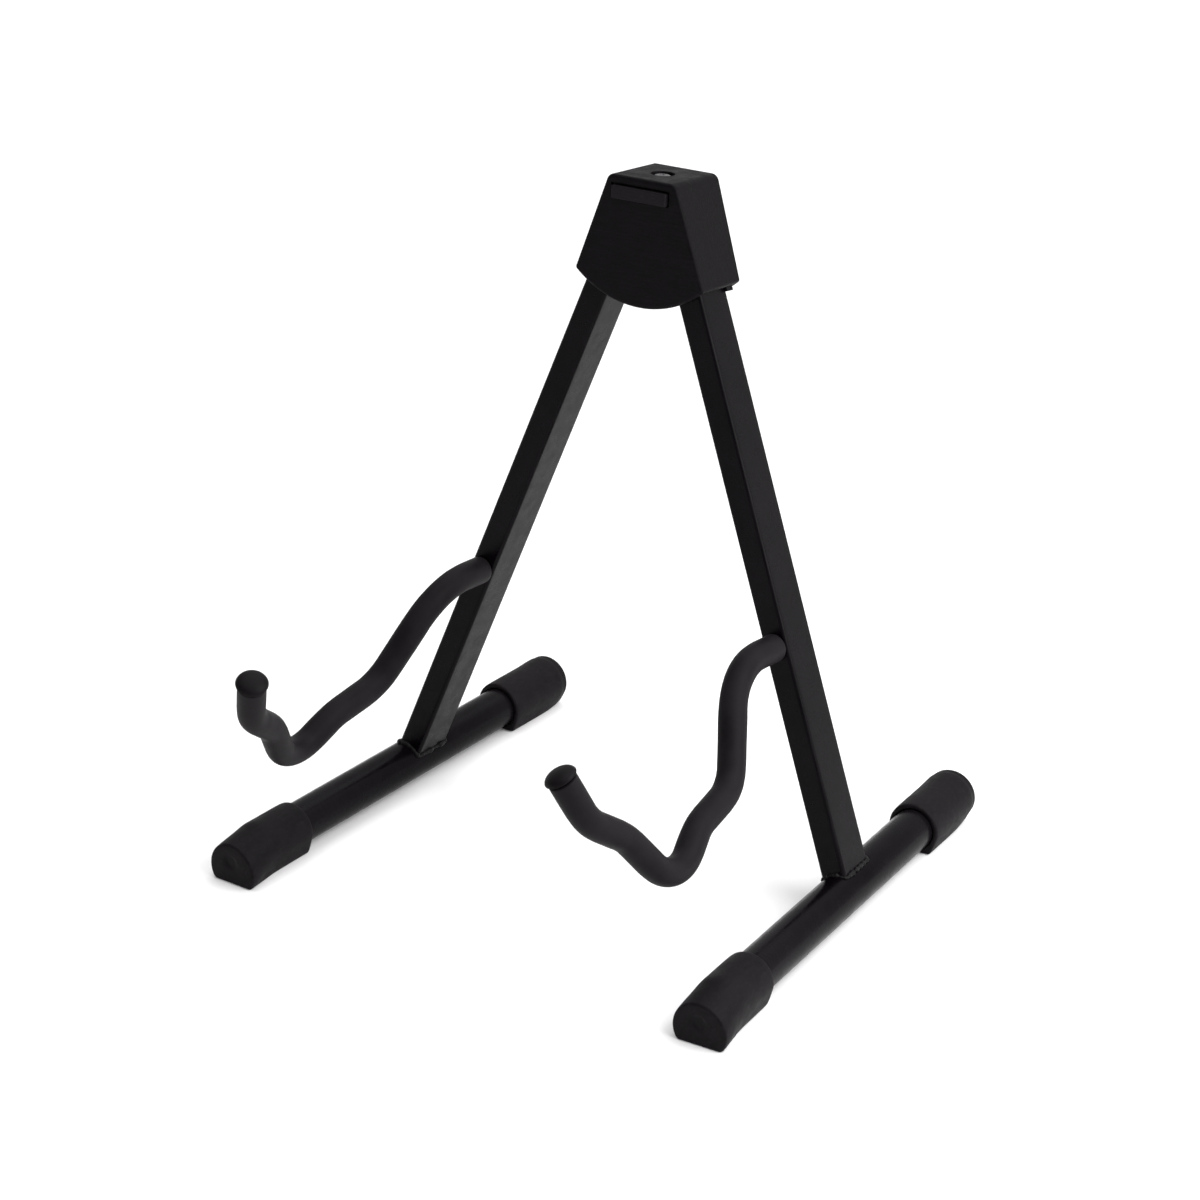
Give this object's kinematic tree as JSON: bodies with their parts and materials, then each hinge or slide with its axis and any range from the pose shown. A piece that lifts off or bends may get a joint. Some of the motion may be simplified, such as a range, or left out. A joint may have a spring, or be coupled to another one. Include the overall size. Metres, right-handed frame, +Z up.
{
  "type": "folding A-frame guitar stand",
  "caption": "Folding floor stand: splayed tube legs hinged under a moulded head, round foot bars with rubber caps, and bent foam-sleeved cradle arms.",
  "frame": {"origin": "on the floor under the middle of the bounding box, legs fully open", "axes": "+X to the right of someone facing the head from the instrument's side, +Y to the rear, +Z up"},
  "size_m": [0.3554, 0.3648, 0.4069],
  "materials": {
    "coated_steel": "satin black powder coat",
    "moulded_rubber": "matte, fine mould texture",
    "pad_rubber": "matte",
    "sleeve_foam": "matte skinned foam rubber",
    "plug_plastic": "satin",
    "zinc_steel": "zinc plated",
    "nylon": "natural"
  },
  "bodies": {
    "head": {"head_cover": "moulded_rubber", "bumper_strip": "pad_rubber", "cover_screw": "coated_steel", "hinge_bracket": "coated_steel", "right_pivot_rivet": "zinc_steel", "right_washer_front": "nylon", "right_washer_rear": "nylon", "left_pivot_rivet": "zinc_steel", "left_washer_front": "nylon", "left_washer_rear": "nylon"},
    "right_leg": {"right_leg_tube": "coated_steel", "right_pivot_bush": "nylon", "right_leg_weld": "coated_steel", "right_foot_bar": "coated_steel", "right_foot_cap_front": "moulded_rubber", "right_foot_cap_rear": "moulded_rubber", "right_cradle_rod": "coated_steel", "right_cradle_sleeve": "sleeve_foam", "right_end_plug": "plug_plastic"},
    "left_leg": {"left_leg_tube": "coated_steel", "left_pivot_bush": "nylon", "left_leg_weld": "coated_steel", "left_foot_bar": "coated_steel", "left_foot_cap_front": "moulded_rubber", "left_foot_cap_rear": "moulded_rubber", "left_cradle_rod": "coated_steel", "left_cradle_sleeve": "sleeve_foam", "left_end_plug": "plug_plastic"}
  },
  "joints": [
    {"name": "right_leg_fold", "type": "hinge", "parent": "head", "child": "right_leg", "pos_m": [0.02289, 0.07582, 0.36033], "axis": [0, 0.9954, -0.0958], "range_deg": [0, 20.8]},
    {"name": "left_leg_fold", "type": "hinge", "parent": "head", "child": "left_leg", "pos_m": [-0.02289, 0.07582, 0.36033], "axis": [0, -0.9954, 0.0958], "range_deg": [0, 20.8]}
  ]
}
